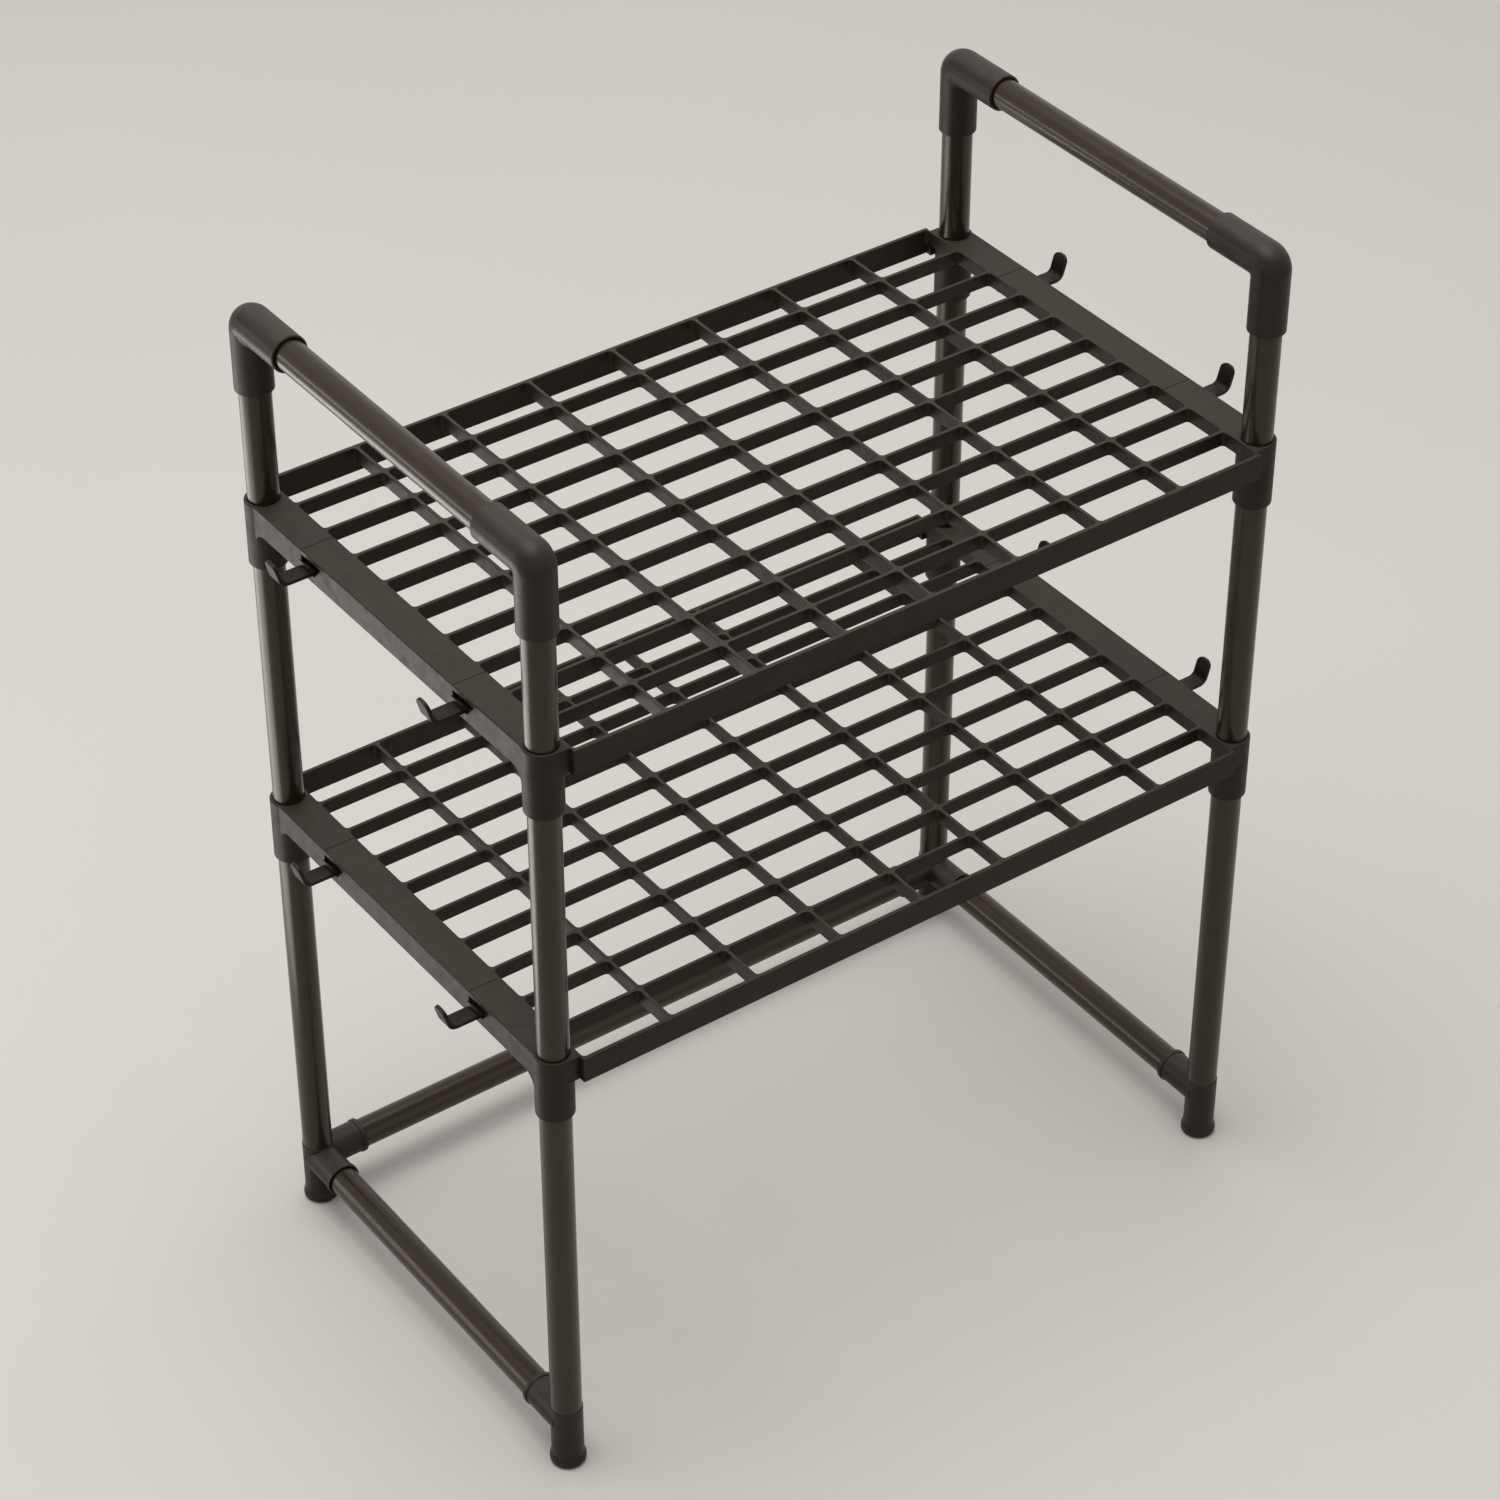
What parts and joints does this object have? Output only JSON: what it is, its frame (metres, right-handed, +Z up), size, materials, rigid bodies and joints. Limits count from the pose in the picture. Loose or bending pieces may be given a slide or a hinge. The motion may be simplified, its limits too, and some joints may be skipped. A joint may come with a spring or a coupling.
{
  "type": "microwave rack",
  "caption": "Free-standing tube rack with lattice shelves over an oven bay, handles at the sides, low crossbars and hooks on the shelf sides.",
  "frame": {"origin": "on the floor under the middle of the rack: the bottom centre of its bounding box", "axes": "+X to the rack's right seen from the front, +Y from front to back, +Z up"},
  "size_m": [0.5706, 0.3178, 0.6736],
  "materials": {
    "shelf_plastic": "satin black moulding",
    "joint_plastic": "semi-gloss black moulding",
    "hook_plastic": "semi-gloss black moulding",
    "tube_paint": "black powder-coated steel tube"
  },
  "bodies": {
    "root": {"lower_shelf": "shelf_plastic", "upper_shelf": "shelf_plastic", "lower_post_front_left": "tube_paint", "middle_post_front_left": "tube_paint", "upper_post_front_left": "tube_paint", "handle_elbow_front_left": "joint_plastic", "foot_joint_front_left": "joint_plastic", "lower_post_front_right": "tube_paint", "middle_post_front_right": "tube_paint", "upper_post_front_right": "tube_paint", "handle_elbow_front_right": "joint_plastic", "foot_joint_front_right": "joint_plastic", "lower_post_back_left": "tube_paint", "middle_post_back_left": "tube_paint", "upper_post_back_left": "tube_paint", "handle_elbow_back_left": "joint_plastic", "foot_joint_back_left": "joint_plastic", "lower_post_back_right": "tube_paint", "middle_post_back_right": "tube_paint", "upper_post_back_right": "tube_paint", "handle_elbow_back_right": "joint_plastic", "foot_joint_back_right": "joint_plastic", "handle_tube_left": "tube_paint", "crossbar_left": "tube_paint", "handle_tube_right": "tube_paint", "crossbar_right": "tube_paint", "crossbar_back": "tube_paint", "lower_hook_left_front": "hook_plastic", "lower_hook_left_back": "hook_plastic", "lower_hook_right_front": "hook_plastic", "lower_hook_right_back": "hook_plastic", "upper_hook_left_front": "hook_plastic", "upper_hook_left_back": "hook_plastic", "upper_hook_right_front": "hook_plastic", "upper_hook_right_back": "hook_plastic"}
  },
  "joints": []
}
